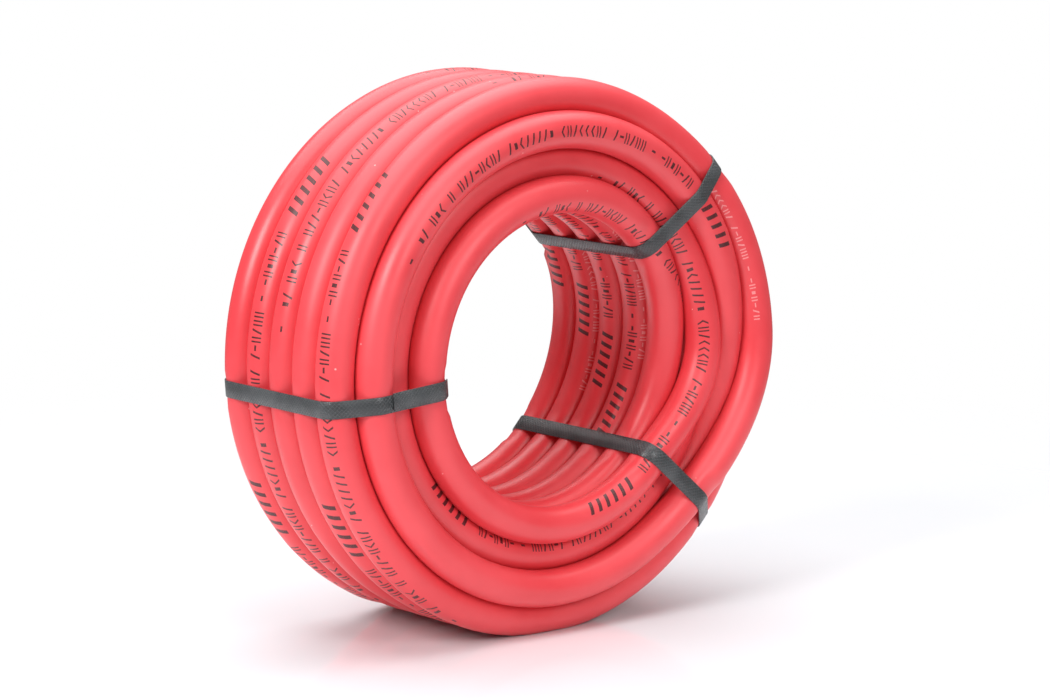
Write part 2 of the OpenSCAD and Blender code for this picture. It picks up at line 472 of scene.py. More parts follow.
# %% Printed marks: runs of plain strokes along a line on the hose
# A run holds a row of heavier bars and then strokes, in words of a few cells with a space between.
BARS_END, STROKES_START = 8.5, 10.5
CELLS_PER_WORD = 9.0
CELLS_PER_BAR = 1.5
BAR_HALF, BAR_HALF_HEIGHT, BAR_SLANT = 0.20, 0.60, 0.3


def make_print_group():
    """Strokes of ink along a straight line, in runs that repeat.

    The distance along is folded into repeats and cut into cells, and a random value for each cell
    picks its stroke or leaves it empty. A run starts with a row of heavier bars. So the hose looks
    printed, and the print says nothing.
    """
    tree, given, result = new_group(
        "printed strokes",
        [("Along", "Float", 0.0), ("Around", "Float", 0.0), ("Line", "Float", 0.0),
         ("Height", "Float", 0.08), ("Repeat", "Float", 0.47), ("Run", "Float", 0.22),
         ("Cell", "Float", 0.004), ("Phase", "Float", 0.0), ("Heavy", "Float", 0.0)],
        ["Mask"],
    )
    moved = maths(tree, "ADD", given.outputs["Along"], given.outputs["Phase"])
    folded = maths(tree, "FLOORED_MODULO", moved, given.outputs["Repeat"])
    in_run = maths(tree, "LESS_THAN", folded, given.outputs["Run"])
    cells = maths(tree, "DIVIDE", folded, given.outputs["Cell"])
    number = maths(tree, "FLOOR", cells)
    x = centred(tree, cells)
    off_line = maths(tree, "SUBTRACT", given.outputs["Around"], given.outputs["Line"])
    y = maths(tree, "DIVIDE", centred(tree, maths(tree, "ADD", off_line, 0.5)), given.outputs["Height"])
    kind = random_of(tree, number)
    ink = 0.0
    for low, high, stroke in STROKES:
        above = maths(tree, "GREATER_THAN", kind, low)
        chosen = maths(tree, "MULTIPLY", above, maths(tree, "LESS_THAN", kind, high))
        drawn = maths(tree, "MULTIPLY", chosen, stroke_mask(tree, stroke, x, y))
        ink = maths(tree, "MAXIMUM", ink, drawn)
    in_word = maths(tree, "GREATER_THAN", maths(tree, "FLOORED_MODULO", number, CELLS_PER_WORD), 0.5)
    after_bars = maths(tree, "GREATER_THAN", number, STROKES_START)
    ink = maths(tree, "MULTIPLY", ink, maths(tree, "MULTIPLY", in_word, after_bars))
    ink = maths(tree, "MULTIPLY", ink, within(tree, y, 0.5))
    bar_x = centred(tree, maths(tree, "DIVIDE", cells, CELLS_PER_BAR))
    bars = within(tree, maths(tree, "MULTIPLY_ADD", y, BAR_SLANT, bar_x), BAR_HALF)
    in_bars = maths(tree, "LESS_THAN", number, BARS_END)
    in_bars = maths(tree, "MULTIPLY", in_bars, within(tree, y, BAR_HALF_HEIGHT))
    in_bars = maths(tree, "MULTIPLY", in_bars, given.outputs["Heavy"])
    ink = maths(tree, "MAXIMUM", ink, maths(tree, "MULTIPLY", bars, in_bars))
    put(result.inputs["Mask"], maths(tree, "MULTIPLY", ink, in_run))
    return tree


DUST = make_dust_group()
GRAIN = make_grain_group()
PRINT = make_print_group()


# %% Material helpers
def new_material(name):
    """A material with its Principled shader, and its node tree."""
    material = bpy.data.materials.new(name)
    material.use_nodes = True
    tree = material.node_tree
    shader = next(node for node in tree.nodes if node.type == "BSDF_PRINCIPLED")
    return material, tree, shader


def place_group(tree, group, **values):
    """Place a group in a material and fill its inputs by name."""
    node = tree.nodes.new("ShaderNodeGroup")
    node.node_tree = group
    for name, value in values.items():
        put(node.inputs[name], value)
    return node


def blend_colour(tree, amount, first, second):
    """Blend two colours by a mask."""
    node = tree.nodes.new("ShaderNodeMix")
    node.data_type = "RGBA"
    put(node.inputs[0], amount)
    put(node.inputs[6], first)
    put(node.inputs[7], second)
    return node.outputs[2]


def bump(tree, height, strength, distance, under=None):
    """A Bump node over an optional bump below it."""
    node = tree.nodes.new("ShaderNodeBump")
    put(node.inputs["Height"], height)
    put(node.inputs["Strength"], strength)
    put(node.inputs["Distance"], distance)
    if under is not None:
        put(node.inputs["Normal"], under)
    return node.outputs["Normal"]


def object_position(tree):
    """Object coordinates, which hold still as the object's places are in its mesh."""
    return tree.nodes.new("ShaderNodeTexCoord").outputs["Object"]


def measured_uv(tree):
    """The piece's own UV: turns or metres across, and metres along."""
    uv = tree.nodes.new("ShaderNodeUVMap")
    uv.uv_map = "measure"
    split = tree.nodes.new("ShaderNodeSeparateXYZ")
    put(split.inputs[0], uv.outputs[0])
    return split.outputs[0], split.outputs[1]


# %% [markdown]
# ## Red rubber, with its printed marks
# The cover is extruded rubber: matte, a little uneven, and printed twice in passing, once in black
# and once faintly in white. A texture image would do it, but UVs in true metres let the marks be
# plain arithmetic, at their real size all along the hose.

# %% Rubber cover
RUBBER_RED = (0.74, 0.046, 0.058, 1.0)
RUBBER_PALE = (0.81, 0.068, 0.082, 1.0)
INK_BLACK = (0.035, 0.010, 0.011, 1.0)
INK_WHITE = (0.88, 0.42, 0.42, 1.0)
DUST_WHITE = (0.93, 0.62, 0.60, 1.0)
# Each printed line starts at a place around the hose, in turns, and drifts by so many turns a metre.
BLACK_START, BLACK_SLOPE = -0.224, 0.0137
WHITE_START, WHITE_SLOPE = -0.09, 0.0
# The hose also twists in places: from a place to a place along it in metres, and by how many turns.
BLACK_DRIFT = [
    (2.30, 2.55, 0.40), (2.70, 2.78, -0.32), (10.72, 10.98, 0.32), (11.30, 11.60, -0.17),
]
WHITE_DRIFT = [(2.60, 3.00, 0.40), (9.00, 9.50, -0.40)]
# Heights are in turns around the hose, and the rest in metres along it.
BLACK_PRINT = {
    "Height": 0.096, "Repeat": 0.518, "Run": 0.2645, "Cell": 0.0040, "Phase": 0.502, "Heavy": 1.0,
}
WHITE_PRINT = {"Height": 0.055, "Repeat": 1.12, "Run": 0.13, "Cell": 0.0036, "Phase": 0.14}
BLACK_STRENGTH, WHITE_STRENGTH, DUST_STRENGTH = 0.95, 0.55, 0.5


def drifting_line(tree, along, slope, start, drifts):
    """Where a printed line lies around the hose: a slow straight drift and a few eased shifts."""
    line = maths(tree, "MULTIPLY_ADD", along, slope, start)
    for begins, ends, change in drifts:
        line = maths(tree, "ADD", line, step_between(tree, along, begins, ends, 0.0, change))
    return line


def make_cover():
    """Extruded red rubber with two printed lines and a little dust."""
    material, tree, shader = new_material("red rubber cover")
    place = object_position(tree)
    around_turns, along_metres = measured_uv(tree)
    grain = place_group(tree, GRAIN, Vector=place, Fine=1500.0, Coarse=16.0)
    colour = blend_colour(tree, grain.outputs["Mottle"], RUBBER_RED, RUBBER_PALE)
    black_line = drifting_line(tree, along_metres, BLACK_SLOPE, BLACK_START, BLACK_DRIFT)
    white_line = drifting_line(tree, along_metres, WHITE_SLOPE, WHITE_START, WHITE_DRIFT)
    where = {"Along": along_metres, "Around": around_turns}
    black = place_group(tree, PRINT, Line=black_line, **where, **BLACK_PRINT)
    white = place_group(tree, PRINT, Line=white_line, **where, **WHITE_PRINT)
    worn = step_between(tree, noise(tree, place, 2600.0, 2.0), 0.22, 0.38)
    black_ink = maths(tree, "MULTIPLY", maths(tree, "MULTIPLY", black.outputs[0], worn), BLACK_STRENGTH)
    white_ink = maths(tree, "MULTIPLY", maths(tree, "MULTIPLY", white.outputs[0], worn), WHITE_STRENGTH)
    colour = blend_colour(tree, black_ink, colour, INK_BLACK)
    colour = blend_colour(tree, white_ink, colour, INK_WHITE)
    dust = place_group(tree, DUST, Vector=place, Scale=420.0, Amount=0.22)
    specks = maths(tree, "MULTIPLY", dust.outputs["Mask"], DUST_STRENGTH)
    put(shader.inputs["Base Color"], blend_colour(tree, specks, colour, DUST_WHITE))
    put(shader.inputs["Roughness"], step_between(tree, grain.outputs["Mottle"], 0.0, 1.0, 0.36, 0.48))
    put(shader.inputs["Specular IOR Level"], 0.6)
    slow = noise(tree, place, 150.0, 2.0)
    under = bump(tree, slow, 0.10, 0.0006)
    put(shader.inputs["Normal"], bump(tree, grain.outputs["Height"], 0.10, 0.0002, under))
    return material


COVER = make_cover()

# %% [markdown]
# ## The hose itself
# The hose is a circle swept along its middle line. Each ring is square to the line, and its zero is
# the side that looks to the front, so the printed line keeps its place. Soft turns that press on
# each other share a flat between them, so any point that would pass the middle between two turns is
# pushed back onto it. A physics run could settle the turns, but the machine's tension has already
# put them where the formula does.

# %% Sweep and contact flats
SIDES = 24
CONTACT_GAP = 0.00006
# Rings this few apart along the hose are the same turn, so they can't press on each other.
OWN_REACH = 16
# A point presses on another turn when it is nearer to its centre than this many hose radii.
TOUCHING = 1.05
# Rings worked out at once, and how far from them another turn can matter.
BLOCK = 60
BLOCK_REACH = 2 * HOSE_D + 0.06 + BLOCK * 0.002


def ring_frames(line):
    """For each point, the ways to the front and away from the coil's axis, square to the line."""
    ahead = np.gradient(line, axis=0)
    ahead /= np.linalg.norm(ahead, axis=1)[:, None]
    out = (line - AXIS) * np.array([1.0, 0.0, 1.0])
    out -= (out * ahead).sum(1)[:, None] * ahead
    out /= np.linalg.norm(out, axis=1)[:, None]
    front = np.cross(out, ahead)
    front *= np.sign(-front[:, 1])[:, None]
    return front, out


def sweep(line, radius, turn_offsets):
    """Points at a radius around each point of a line: cosine to the front, sine outwards."""
    front, out = ring_frames(line)
    angle = 2 * math.pi * turn_offsets
    side = np.cos(angle)[None, :, None] * front[:, None] + np.sin(angle)[None, :, None] * out[:, None]
    return line[:, None] + side * np.broadcast_to(radius, len(line))[:, None, None]


def press_together(grid, line):
    """Push points back to the middle plane between their own turn and the nearest other turn.

    A block of rings is worked out at once, against the part of the line that is near the block. A
    point that lies past the middle between two centres moves back by that much along their line.
    """
    pressed = grid.copy()
    order = np.arange(len(line))
    for start in range(0, len(line), BLOCK):
        rows = slice(start, min(start + BLOCK, len(line)))
        middle = line[rows].mean(0)
        close = order[np.linalg.norm(line - middle, axis=1) < BLOCK_REACH]
        points = grid[rows].reshape(-1, 3)
        owner = np.repeat(order[rows], grid.shape[1])
        distance = np.linalg.norm(points[:, None] - line[None, close], axis=2)
        distance[np.abs(owner[:, None] - close[None]) < OWN_REACH] = np.inf
        other = line[close[np.argmin(distance, axis=1)]]
        own = line[owner]
        apart = other - own
        gap = np.linalg.norm(apart, axis=1)
        normal = apart / gap[:, None]
        past = ((points - (own + other) / 2) * normal).sum(1) + CONTACT_GAP
        near = (np.min(distance, axis=1) < HOSE_R * TOUCHING) & (past > 0)
        points = points - normal * (past * near)[:, None]
        pressed[rows] = points.reshape(grid[rows].shape)
    return pressed


# %% [markdown]
# ## Where the straps press
# A packing strap is pulled tight around the bundle. Under tension it takes the shortest line around
# the turns it crosses, which is the convex outline of their sections. So the strap's line is worked
# out and not drawn: in each direction the outline reaches the furthest circle. It comes before the
# hose's mesh, because the rubber gives way under a strap and has a shallow dent there.

# %% Outline of the turns under a strap
STRAP_W = 0.0090
STRAP_T = 0.0007
STRAP_BITE = 0.00045
STRAP_OVER_METAL = 0.00015
FERRULE_R = 0.0123
WOUND_START = INNER_ROUTE[0][0]
# A turn counts as crossed even if it starts or stops this many degrees from the strap.
BEFORE_START, AFTER_END = 40.0, 20.0
UPPER_ANGLE, LOWER_ANGLE, LEFT_ANGLE = 41.5, -43.0, 184.5


def circles_at(angle):
    """Radius and place along the axis of each wound turn that a strap at an angle crosses."""
    totals = angle + 360.0 * np.arange(-1, len(revolutions) + 1)
    crossed = (totals > WOUND_START - BEFORE_START) & (totals < LAST_ANGLE + AFTER_END)
    _, radius, along = wound(totals[crossed])
    return np.stack([radius, along], -1)


def all_ways(count):
    """Unit vectors in evenly spaced directions: outwards, and along the axis."""
    facing = np.linspace(0.0, 2 * math.pi, count, endpoint=False)
    return np.stack([np.cos(facing), np.sin(facing)], -1)


def taut_outline(angle, lift, bump_at=None, slant=0.0):
    """The convex outline of the crossed turns, grown by a lift: the furthest point each way.

    For a circle that point is its centre plus its radius times the direction. A ferrule that the
    strap crosses at a slant adds an ellipse, whose furthest point has its semi-axes squared.
    """
    turns = circles_at(angle)
    way = all_ways(720)
    reach = turns @ way.T + HOSE_R + lift
    outline = turns[np.argmax(reach, axis=0)] + (HOSE_R + lift) * way
    if bump_at is not None:
        axes = np.array([FERRULE_R / math.cos(slant), FERRULE_R]) + max(lift, STRAP_OVER_METAL)
        size = np.sqrt(((axes * way) ** 2).sum(1))[:, None]
        point = np.array([bump_at, TAIL_Y]) + axes ** 2 * way / size
        further = (point * way).sum(1) > reach.max(0)
        outline[further] = point[further]
    return outline


# %% Dents under the straps
ALONG_AXIS = np.array([0.0, 1.0, 0.0])
BITE_HALF_WIDTH = 0.0044
BITE_EASES_OVER = 0.0080
BITE_CLEARANCE = 0.0001
DEEPEST_BITE = 0.003


def strap_ways(angle):
    """For a strap at an angle, the way out from the coil's axis and the way across the strap."""
    a = math.radians(angle)
    return np.array([math.cos(a), 0.0, math.sin(a)]), np.array([-math.sin(a), 0.0, math.cos(a)])


def bite(points):
    """Dent the rubber under each strap: push points back inside the taut outline, less the bite.

    A point is inside a convex outline when, in every direction, it lies less far out than the
    outline's furthest point. Where it doesn't, it moves back along the direction of most excess.
    """
    way = all_ways(360)
    for angle in (UPPER_ANGLE, LOWER_ANGLE, LEFT_ANGLE):
        outwards, sideways = strap_ways(angle)
        apart = np.abs((points - AXIS) @ sideways)
        radius = (points - AXIS) @ outwards
        under = (apart < BITE_HALF_WIDTH + BITE_EASES_OVER) & (radius > 0) & (points[:, 1] < BACK_Y)
        picked = np.flatnonzero(under)
        reach = (circles_at(angle) @ way.T + HOSE_R).max(0)
        flat = np.stack([radius[picked], points[picked, 1]], -1)
        share = 1.0 - ease((apart[picked] - BITE_HALF_WIDTH) / BITE_EASES_OVER)
        allowed = reach[None] - (STRAP_BITE + BITE_CLEARANCE) * share[:, None]
        excess = flat @ way.T - allowed
        back = np.clip(excess.max(1), 0.0, DEEPEST_BITE)[:, None] * way[excess.argmax(1)]
        points[picked] -= back[:, :1] * outwards + back[:, 1:] * ALONG_AXIS
    return points


# %% The hose's mesh, flat where it rests
def make_hose():
    """The whole hose, with a pocket in each end where the cords and the inner tube show."""
    pocket = int(round((FERRULE_L - COLLAR_L) / (HOSE_LENGTH / (RINGS - 1)))) - 1
    offsets = np.linspace(0.0, 1.0, SIDES, endpoint=False)
    outside = press_together(sweep(HOSE_LINE, HOSE_R, offsets), HOSE_LINE)
    outside = bite(outside.reshape(-1, 3)).reshape(outside.shape)
    outside[..., 2] = np.maximum(outside[..., 2], 0.0)
    inside = sweep(HOSE_LINE, CORDS_R, offsets)
    first_pocket = inside[[pocket, 0]]
    last_pocket = inside[[-1, -1 - pocket]]
    grid = np.concatenate([first_pocket, outside, last_pocket])
    along = np.concatenate([
        HOSE_ALONG[[pocket, 0]], HOSE_ALONG, HOSE_ALONG[[-1, -1 - pocket]],
    ])
    hose = grid_mesh("hose", grid, along=along)
    finish_piece(
        hose, COVER, "hose_cover",
        "hose_coil", "inner_tail", "outer_tail", "inner_end_cover", "outer_end_cover",
    )
    print(f"hose: {len(grid)} rings, with pockets {pocket} rings deep in the ferrules")
    return hose


hose = make_hose()

# %% [markdown]
# ## Flat straps
# A packing strap is a flat plastic band, rolled with a fine pattern so that it grips, and welded to
# itself where its ends overlap. A curve with a bevel would twist at the corners. So a section with
# eased edges is carried along the taut outline, cut into even steps, and it can only lie flat.

# %% Even steps around a strap
STRAP_STEP = 0.0012


def even_loop(outline, step):
    """Cut a closed outline into even steps and give its outward normals and the distance along it."""
    closed = np.concatenate([outline, outline[:1]])
    keep = np.concatenate([[True], np.linalg.norm(np.diff(closed, axis=0), axis=1) > 1e-7])
    closed = closed[keep]
    along = lengths(closed)
    count = int(along[-1] / step)
    wanted = np.linspace(0.0, along[-1], count, endpoint=False)
    points = np.stack([np.interp(wanted, along, closed[:, i]) for i in range(2)], -1)
    ahead = np.roll(points, -1, 0) - np.roll(points, 1, 0)
    ahead /= np.linalg.norm(ahead, axis=1)[:, None]
    normal = np.stack([ahead[:, 1], -ahead[:, 0]], -1)
    return points, normal, wanted, along[-1]


# %% Strap plastic
# The pale colour serves both a random mottle and the painted highlight on the ribs.
STRAP_DARK = (0.016, 0.018, 0.020, 1.0)
STRAP_PALE_AND_RIB_HIGHLIGHT = (0.120, 0.130, 0.136, 1.0)
# Radians a metre along a diagonal, which puts the ribs about two millimetres apart.
RIB_PHASE = 2900.0


def make_strap_plastic():
    """Slate-grey polypropylene, rolled with a fine pattern of crossed ribs, which get a painted
    highlight.
    """
    material, tree, shader = new_material("embossed strap plastic")
    across, along = measured_uv(tree)
    place = object_position(tree)
    ribs = []
    for way in ("ADD", "SUBTRACT"):
        diagonal = maths(tree, way, along, across)
        ribs.append(maths(tree, "SINE", maths(tree, "MULTIPLY", diagonal, RIB_PHASE)))
    weave = step_between(tree, maths(tree, "MAXIMUM", *ribs), 0.35, 0.95)
    grain = place_group(tree, GRAIN, Vector=place, Fine=1800.0, Coarse=70.0)
    mottle = maths(tree, "MULTIPLY", grain.outputs["Mottle"], 0.35)
    # The ribs are painted lighter than the grooves between them: a painted highlight, on top of a
    # random mottle.
    rib_highlight_and_mottle = maths(tree, "MULTIPLY_ADD", weave, 0.50, mottle)
    put(shader.inputs["Base Color"], blend_colour(tree, rib_highlight_and_mottle, STRAP_DARK, STRAP_PALE_AND_RIB_HIGHLIGHT))
    put(shader.inputs["Roughness"], step_between(tree, weave, 0.0, 1.0, 0.38, 0.26))
    put(shader.inputs["Specular IOR Level"], 0.65)
    under = bump(tree, grain.outputs["Height"], 0.15, 0.0002)
    put(shader.inputs["Normal"], bump(tree, weave, 1.0, 0.0005, under))
    return material


STRAP_PLASTIC = make_strap_plastic()


# %% A band's section, and the section carried along an outline
EASED_SHARE = 0.3


def band_section(width, thickness):
    """Corners of a flat band's section with eased edges, as places across and outwards."""
    half, edge = width / 2, thickness * EASED_SHARE
    return np.array([
        (-half, edge), (-half, thickness - edge), (-half + edge, thickness), (0.0, thickness),
        (half - edge, thickness), (half, thickness - edge), (half, edge), (half - edge, 0.0),
        (0.0, 0.0), (-half + edge, 0.0),
    ])


def band_grid(angle, points, normal, section, shift=0.0):
    """Carry a band's section along an outline that lies in a plane through the coil's axis."""
    outwards, sideways = strap_ways(angle)
    flat = points[:, None] + normal[:, None] * section[None, :, 1, None]
    grid = flat[..., :1] * outwards + flat[..., 1:] * ALONG_AXIS
    lateral = section[:, 0] + shift
    return grid + lateral[None, :, None] * sideways + AXIS


# %% Bands and their welded overlap
WELD_SINK = 0.00005
WELD_SHIFT = -0.0009
WELD_THINNED = 0.9
RIPPLE, RIPPLE_PHASE = 0.00008, 2.1
PEEL, PEEL_OVER = 0.0005, 0.005
# Each weld lies between two radii: the left one on the front face, the others on the back.
LEFT_WELD = FIRST_R - 0.0085, FIRST_R + 0.0305
UPPER_WELD = RIM_R - 0.030, RIM_R - 0.010
LOWER_WELD = RIM_R - 0.030, RIM_R - 0.008
FRONT, BACK = -1.0, 1.0


def weld_rows(points, normal, weld, facing):
    """Rows of a band, in order, that lie on one face between two radii."""
    on_weld = (points[:, 0] > weld[0]) & (points[:, 0] < weld[1])
    on_weld &= normal @ np.array([0.0, facing]) > 0.5
    picked = np.flatnonzero(on_weld)
    breaks = np.flatnonzero(np.diff(picked) > 1)
    if len(breaks):
        picked = np.concatenate([picked[breaks[0] + 1:], picked[:breaks[0] + 1]])
    return picked


def make_strap(name, node, angle, weld, facing, bump_at=None, slant=0.0):
    """A closed band and, on one face, the welded end that lies over it.

    The end is the band's own line, lifted by a thickness. It ripples by a sine where the weld
    pressed it, and its last millimetres peel up.
    """
    outline = taut_outline(angle, -STRAP_BITE, bump_at, slant)
    points, normal, along, total = even_loop(outline, STRAP_STEP)
    section = band_section(STRAP_W, STRAP_T)
    across = np.concatenate([section[:, 0], section[:1, 0]])
    grid = band_grid(angle, points, normal, section)
    band = grid_mesh(name, grid, along=np.append(along, total), across=across, ring_rows=True)
    finish_piece(band, STRAP_PLASTIC, "packing_strap", node)
    sharpen(band, 50)
    picked = weld_rows(points, normal, weld, facing)
    count = len(picked)
    lifted = points[picked] + normal[picked] * (STRAP_T - WELD_SINK)
    ripple = RIPPLE * np.sin(np.arange(count) * RIPPLE_PHASE)[:, None] * normal[picked]
    middle = slice(count // 4, 3 * count // 4)
    lifted[middle] += ripple[middle]
    to_end = np.abs(points[picked, 0] - points[picked, 0].max())
    lifted += normal[picked] * (PEEL * (1.0 - ease(to_end / PEEL_OVER)))[:, None]
    thinned = section * [1.0, WELD_THINNED]
    lap_grid = band_grid(angle, lifted, normal[picked], thinned, shift=WELD_SHIFT)
    lap_along = along[picked][:1] + STRAP_STEP * np.arange(count)
    lap = grid_mesh(name + "_weld", lap_grid, along=lap_along, across=across)
    finish_piece(lap, STRAP_PLASTIC, "packing_strap")
    sharpen(lap, 50)


upper_slant = math.radians(UPPER_ANGLE - 90.0 - INNER_END[0])
lower_slant = math.radians(LOWER_ANGLE + 90.0 - OUTER_END[0])
make_strap("strap_left_band", "strap_left", LEFT_ANGLE, LEFT_WELD, FRONT)
make_strap(
    "strap_upper_band", "strap_upper_right", UPPER_ANGLE, UPPER_WELD, BACK,
    INNER_END[1] / math.cos(upper_slant), upper_slant,
)
make_strap(
    "strap_lower_band", "strap_lower_right", LOWER_ANGLE, LOWER_WELD, BACK,
    -OUTER_END[1] / math.cos(lower_slant), lower_slant,
)

# %% [markdown]
# ## Brass ends
# A crimped end is a turned stem with a hexagon and a pipe thread, and a sleeve squeezed onto the
# hose by eight dies. All of it is one kind of surface: a radius that depends on the place along the
# axis and on the angle around it. Written that way, the hexagon's chamfers and the thread's helix
# come out of a formula, with no boolean cuts.

# %% Brass
BRASS_WARM = (0.66, 0.43, 0.15, 1.0)
BRASS_DULL = (0.42, 0.26, 0.09, 1.0)
TURNING_LINES_PER_METRE = 9000.0


def make_brass():
    """Machined yellow brass with turning lines and some dull patches."""
    material, tree, shader = new_material("machined brass")
    place = object_position(tree)
    across, along = measured_uv(tree)
    grain = place_group(tree, GRAIN, Vector=place, Fine=2200.0, Coarse=120.0)
    lines = noise(tree, None, 1.0, 2.0, dimensions="1D")
    put(lines.node.inputs["W"], maths(tree, "MULTIPLY", along, TURNING_LINES_PER_METRE))
    dull = step_between(tree, grain.outputs["Mottle"], 0.35, 1.0)
    put(shader.inputs["Base Color"], blend_colour(tree, dull, BRASS_WARM, BRASS_DULL))
    put(shader.inputs["Metallic"], 1.0)
    put(shader.inputs["Roughness"], step_between(tree, dull, 0.0, 1.0, 0.24, 0.46))
    under = bump(tree, grain.outputs["Height"], 0.05, 0.0001)
    put(shader.inputs["Normal"], bump(tree, lines, 0.10, 0.00005, under))
    return material


BRASS = make_brass()

# %% Points around a coupling's axis
AROUND_STEPS = 96
TURN = np.linspace(0.0, 2 * math.pi, AROUND_STEPS, endpoint=False)


def on_end(end, radius, beyond):
    """Points at radii around a coupling's axis, at distances beyond the ferrule's mouth."""
    heading = math.radians(end[0])
    middle = on_axis(end, beyond)
    up = np.array([-math.sin(heading), 0.0, math.cos(heading)])
    ring = np.cos(TURN)[None, :, None] * ALONG_AXIS + np.sin(TURN)[None, :, None] * up
    return middle[:, None] + radius[..., None] * ring


# %% Ferrules
DIES = 8
BODY_FROM, BODY_TO, BODY_ROWS = 0.0012, 0.0288, 70
SQUEEZED_FROM, SQUEEZED_TO, SQUEEZE_EASES_OVER = 0.004, 0.0245, 0.002
SQUEEZE_DEPTH, RING_DEPTH, RING_SPACING = 0.00042, 0.00016, 0.0065
RIDGE_SHARE = 0.075
MOUTH_R = HOSE_R + 0.00012
COLLAR_R = 0.0074
MOUTH_STEP = 0.0008
EDGE_L, EDGE_ROWS = 0.0006, 4
MOUTH_ROUNDING, COLLAR_ROUNDING = 0.0005, 0.0006


def ferrule_profile():
    """Places along a ferrule and radii there: mouth, rounded edge, body, rounded edge and collar."""
    mouth_edge = MOUTH_ROUNDING * (1.0 - np.sin(np.linspace(0.2, math.pi / 2, EDGE_ROWS)))
    collar_edge = COLLAR_ROUNDING * (1.0 - np.cos(np.linspace(0.0, math.pi / 2, EDGE_ROWS)))
    beyond = np.concatenate([
        [MOUTH_STEP, 0.0], np.linspace(0.0, EDGE_L, EDGE_ROWS),
        np.linspace(BODY_FROM, BODY_TO, BODY_ROWS),
        np.linspace(FERRULE_L - EDGE_L, FERRULE_L, EDGE_ROWS),
        [FERRULE_L, FERRULE_L - COLLAR_L, FERRULE_L - COLLAR_L],
    ])
    radius = np.concatenate([
        [MOUTH_R, MOUTH_R], FERRULE_R - mouth_edge, np.full(BODY_ROWS, FERRULE_R),
        FERRULE_R - collar_edge, [COLLAR_R, COLLAR_R, MOUTH_R],
    ])
    on_body = np.zeros(len(beyond))
    before = 2 + EDGE_ROWS
    on_body[before:before + BODY_ROWS] = 1.0
    return beyond, radius, on_body


def make_ferrule(name, node, end):
    """A sleeve with die marks: flats between narrow ridges, over the middle of its length.

    The marks' depth eases in and out along the sleeve, swells by a cosine in shallow rings, and
    falls to nothing at each ridge by a bell curve of the angle.
    """
    beyond, radius, on_body = ferrule_profile()
    squeezed = ease((beyond - SQUEEZED_FROM) / SQUEEZE_EASES_OVER)
    squeezed = squeezed * (1.0 - ease((beyond - SQUEEZED_TO) / SQUEEZE_EASES_OVER)) * on_body
    sector = (TURN * DIES / (2 * math.pi)) % 1.0 - 0.5
    ridge = np.exp(-(sector / RIDGE_SHARE) ** 2)
    rings = 0.5 + 0.5 * np.cos(beyond * 2 * math.pi / RING_SPACING)
    marks = SQUEEZE_DEPTH + RING_DEPTH * rings[:, None]
    depth = squeezed[:, None] * (1.0 - ridge[None]) * marks
    grid = on_end(end, radius[:, None] - depth, beyond)
    ferrule = grid_mesh(name, grid, along=np.append(beyond, MOUTH_STEP), ring_rows=True)
    finish_piece(ferrule, BRASS, "brass", node)
    sharpen(ferrule, 38)
    return ferrule


# %% Hexagon
HEX_FLAT_R = 0.0119
HEX_START = FERRULE_L + 0.0002
HEX_L = 0.0100
HEX_ROWS = [0.0, 0.0, 0.03, 0.06, 0.10, 0.15, 0.5, 0.85, 0.90, 0.94, 0.97, 1.0, 1.0]
CHAMFER_START, CHAMFER_SLOPE = 0.965, 1.9
NECK_R = 0.0073
THREAD_R = 0.01065
THREAD_DEPTH = 0.00115


def hexagon_rows():
    """Radius around the hexagon at rows along it: the flat's secant, cut by a cone at both ends."""
    beyond = HEX_START + HEX_L * np.array(HEX_ROWS)
    sector = (TURN + math.pi / 6) % (math.pi / 3) - math.pi / 6
    flat = HEX_FLAT_R / np.cos(sector)
    from_face = np.minimum(beyond - HEX_START, HEX_START + HEX_L - beyond)
    cone = HEX_FLAT_R * CHAMFER_START + from_face * CHAMFER_SLOPE
    radius = np.minimum(flat[None], cone[:, None])
    radius[0] = NECK_R
    radius[-1] = THREAD_R - THREAD_DEPTH
    return radius, beyond


# %% Thread
THREAD_L = 0.0198
THREADS_PER_INCH = 14
THREAD_PITCH = 0.0254 / THREADS_PER_INCH
THREAD_ROWS = 108
TOOTH_STEEPNESS, TOOTH_CUT = 1.25, 0.12
RUN_OUT = 0.0022
TAPER = 0.01575
CHAMFER = 0.0022


def thread_rows():
    """Radius around the thread: a tooth that depends on height less the turn's share of a pitch."""
    start = HEX_START + HEX_L
    beyond = np.linspace(start + 0.0001, start + THREAD_L, THREAD_ROWS)
    share = TURN / (2 * math.pi)
    phase = ((beyond[:, None] - start) / THREAD_PITCH - share[None]) % 1.0
    tooth = np.clip(TOOTH_STEEPNESS * (1.0 - np.abs(2.0 * phase - 1.0)) - TOOTH_CUT, 0.0, 1.0)
    from_tip = start + THREAD_L - beyond
    runs_out = ease((beyond - start) / RUN_OUT)
    crest = THREAD_R - TAPER * (THREAD_L - from_tip) * runs_out
    root = crest - THREAD_DEPTH
    radius = root[:, None] + (THREAD_DEPTH * runs_out)[:, None] * tooth
    chamfer = THREAD_R - CHAMFER + from_tip
    return np.minimum(radius, chamfer[:, None]), beyond


# %% Barbed stem
BARBS = 5
BARB_LOW_R, BARB_HIGH_R, BARB_TIP_R = 0.00595, 0.0063, 0.0054
BARB_START, BARB_SPACING, BARB_RISE = 0.002, 0.005, 0.004


def barb_rows():
    """Saw teeth on the stem inside the hose: each rises slowly and drops back at once."""
    teeth = np.repeat(BARB_START + BARB_SPACING * np.arange(BARBS), 2)
    beyond = np.concatenate([[0.0, 0.0008], teeth])
    radius = np.full(len(beyond), BARB_LOW_R)
    radius[3::2] = BARB_HIGH_R
    radius[0] = BARB_TIP_R
    beyond[3::2] += BARB_RISE
    return np.broadcast_to(radius[:, None], (len(radius), AROUND_STEPS)), beyond


# %% Couplings
BORE_R = 0.0048
BORE_CHAMFER = 0.0006


